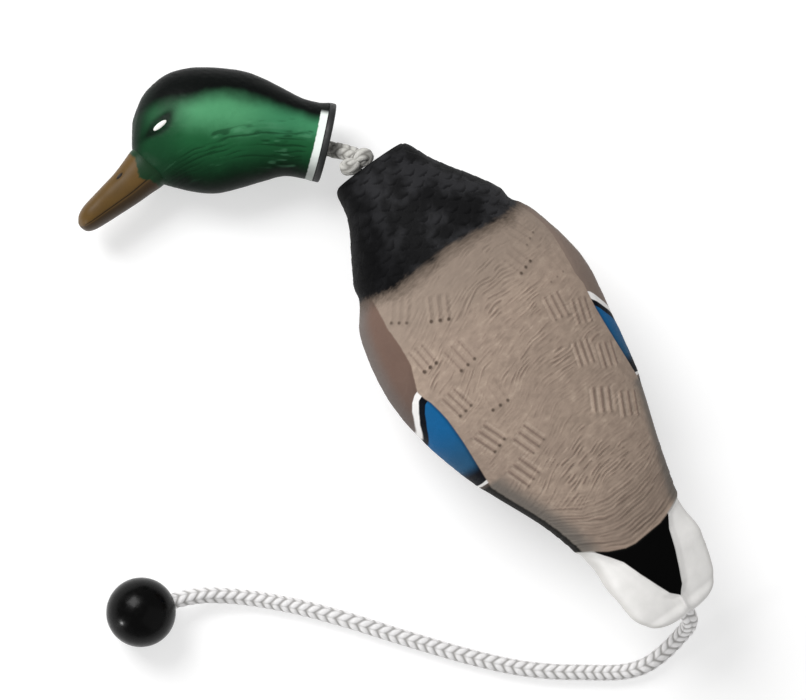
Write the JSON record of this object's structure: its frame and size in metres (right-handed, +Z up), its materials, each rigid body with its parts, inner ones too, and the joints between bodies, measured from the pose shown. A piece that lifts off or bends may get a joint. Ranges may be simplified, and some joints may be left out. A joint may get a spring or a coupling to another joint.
{
  "type": "floating duck decoy training dummy",
  "caption": "Floating mallard drake training dummy: soft foam body, hard head swinging on a short rope at the neck, and a throw rope with a ball from under the tail.",
  "frame": {"origin": "middle of the flat on the belly that the dummy rests on, halfway along the body", "axes": "+X along the body towards the neck, +Y the duck's left, +Z up"},
  "size_m": [0.4535, 0.3453, 0.098],
  "materials": {
    "body_foam": "soft skinned foam, matt, painted taupe, black, blue and white",
    "head_plastic": "hard moulded plastic, satin, airbrushed green and black, brown bill",
    "black_plastic": "moulded, satin black",
    "ball_plastic": "solid ball, semi-gloss black",
    "tube_plastic": "plain extruded tube",
    "rope": "white solid-braid synthetic rope",
    "washer_steel": "zinc-plated steel"
  },
  "bodies": {
    "root": {"body_foam": "body_foam", "core_tube": "tube_plastic", "neck_bush": "black_plastic", "tail_bush": "black_plastic", "core_rope": "rope", "tail_knot": "rope", "throw_rope": "rope", "ball_knot": "rope"},
    "neck_knot": {"neck_knot": "rope"},
    "neck_rope": {"neck_rope": "rope"},
    "head_rope": {"head_rope": "rope", "head_washer": "washer_steel", "head_knot": "rope"},
    "head": {"head_shell": "head_plastic", "neck_cap": "black_plastic"},
    "ball": {"throw_ball": "ball_plastic"}
  },
  "joints": [
    {"name": "neck_yaw", "type": "hinge", "parent": "root", "child": "neck_knot", "pos_m": [0.165, 0, 0.042], "axis": [0, 0, 1], "range_deg": [-50, 10]},
    {"name": "neck_pitch", "type": "hinge", "parent": "neck_knot", "child": "neck_rope", "pos_m": [0.165, 0, 0.042], "axis": [-0.4568, 0.8896, 0], "range_deg": [-60, 15]},
    {"name": "head_swing", "type": "hinge", "parent": "neck_rope", "child": "head_rope", "pos_m": [0.18068, 0.00805, 0.0256], "axis": [0, 0, 1], "range_deg": [-50, 5]},
    {"name": "head_spin", "type": "hinge", "parent": "head_rope", "child": "head", "pos_m": [0.1844, 0.0114, 0.0256], "axis": [0.7431, 0.6691, 0], "continuous": true},
    {"name": "ball_spin", "type": "hinge", "parent": "root", "child": "ball", "pos_m": [0.0262, 0.2564, 0.02], "axis": [0.29, 0.9251, 0.245], "continuous": true}
  ]
}
